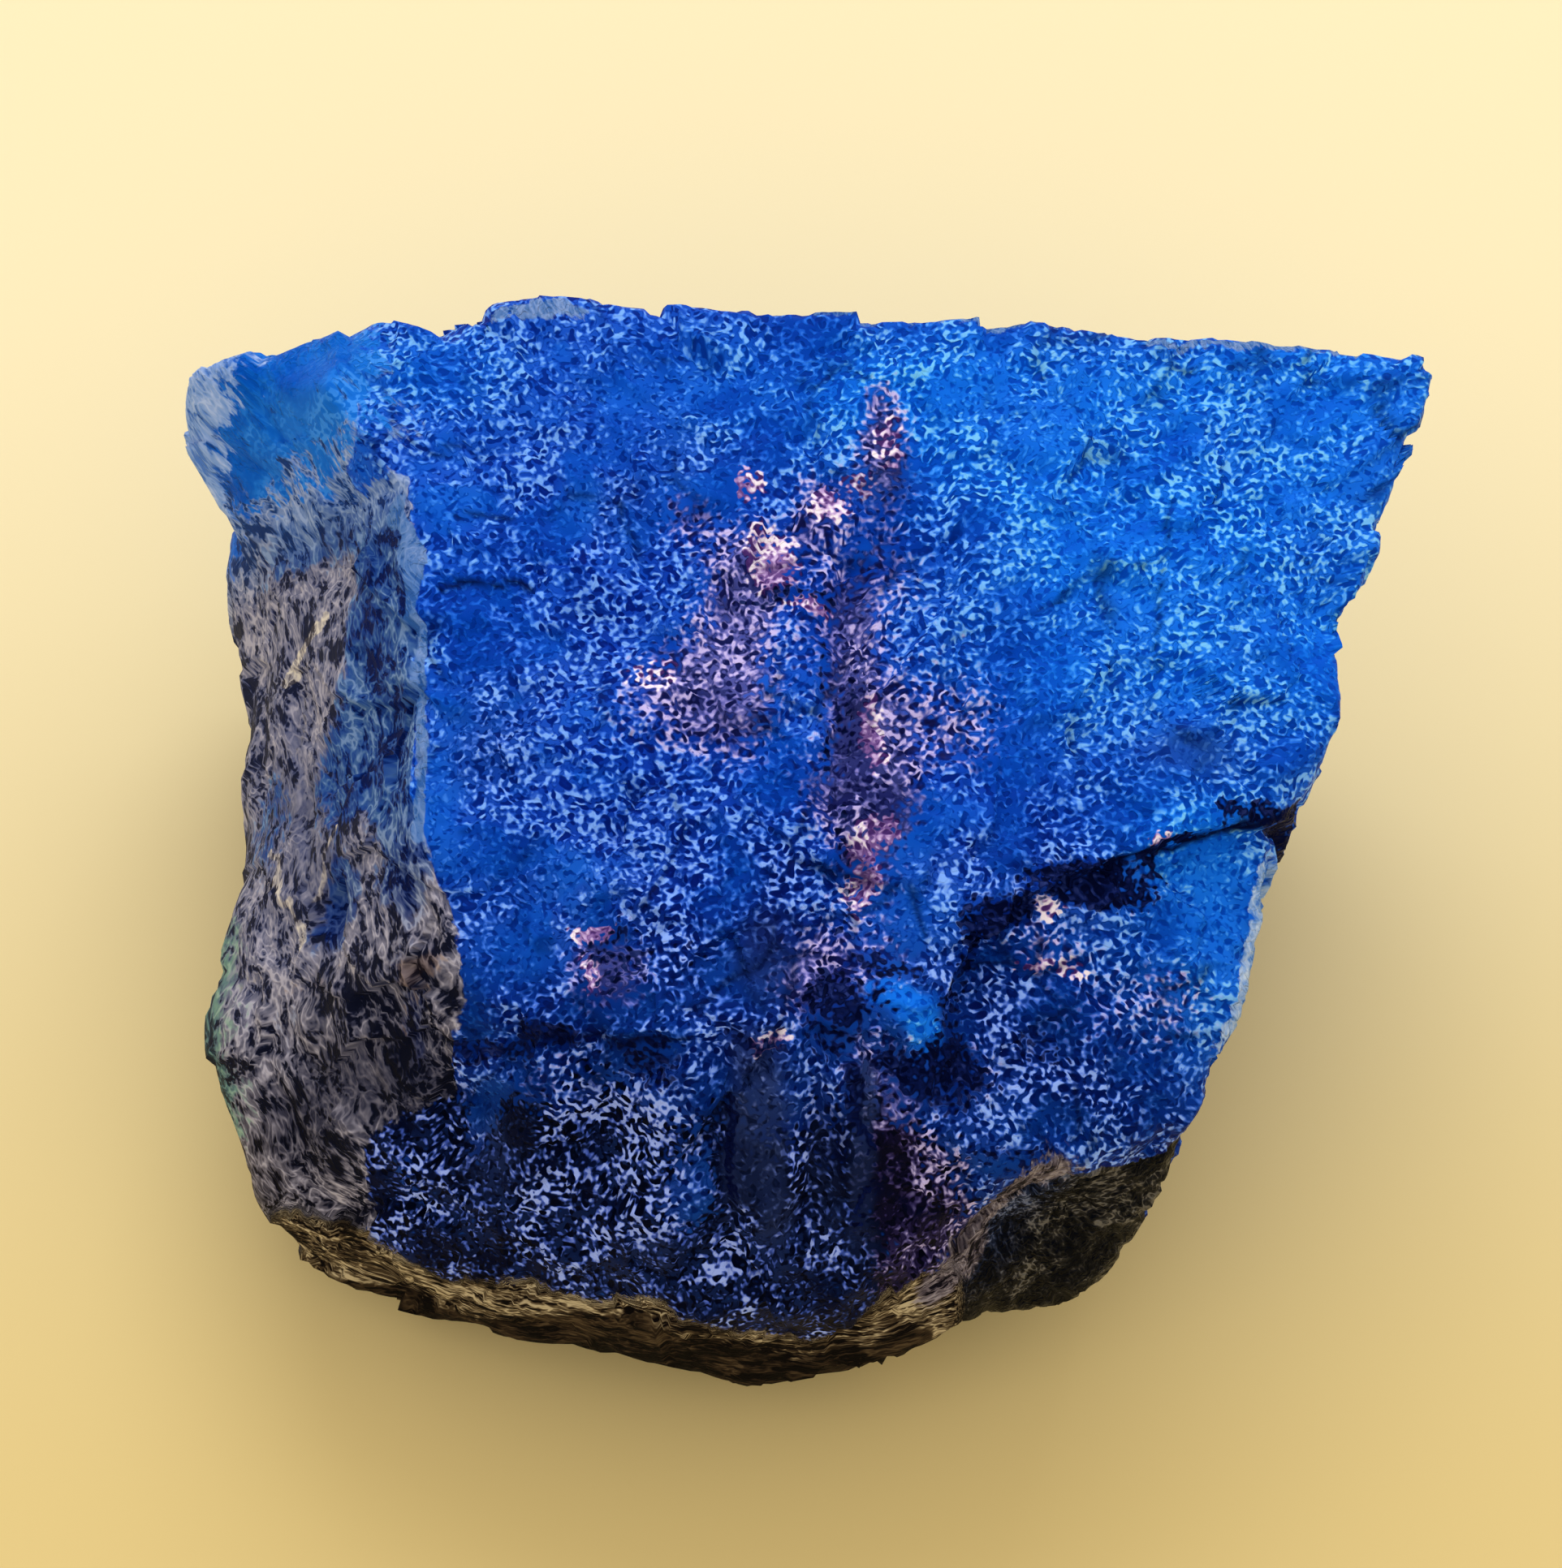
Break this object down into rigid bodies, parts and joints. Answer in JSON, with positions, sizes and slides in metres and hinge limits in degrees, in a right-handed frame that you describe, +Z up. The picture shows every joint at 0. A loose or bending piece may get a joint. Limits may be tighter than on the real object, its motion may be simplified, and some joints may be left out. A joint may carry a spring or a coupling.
{
  "type": "rough gemstone",
  "caption": "Rough blue sapphire: a broken block with a broad sugary top, a sloping front and an undercut, flat underside it rests on.",
  "frame": {"origin": "centre of the bounding box in plan, on the flat resting face", "axes": "+X along the stone's longest side, -Y to the sloping front, +Z up from the resting face"},
  "size_m": [0.0462, 0.0358, 0.0215],
  "materials": {
    "sapphire": "satin"
  },
  "bodies": {
    "root": {"rough_sapphire": "sapphire"}
  },
  "joints": []
}
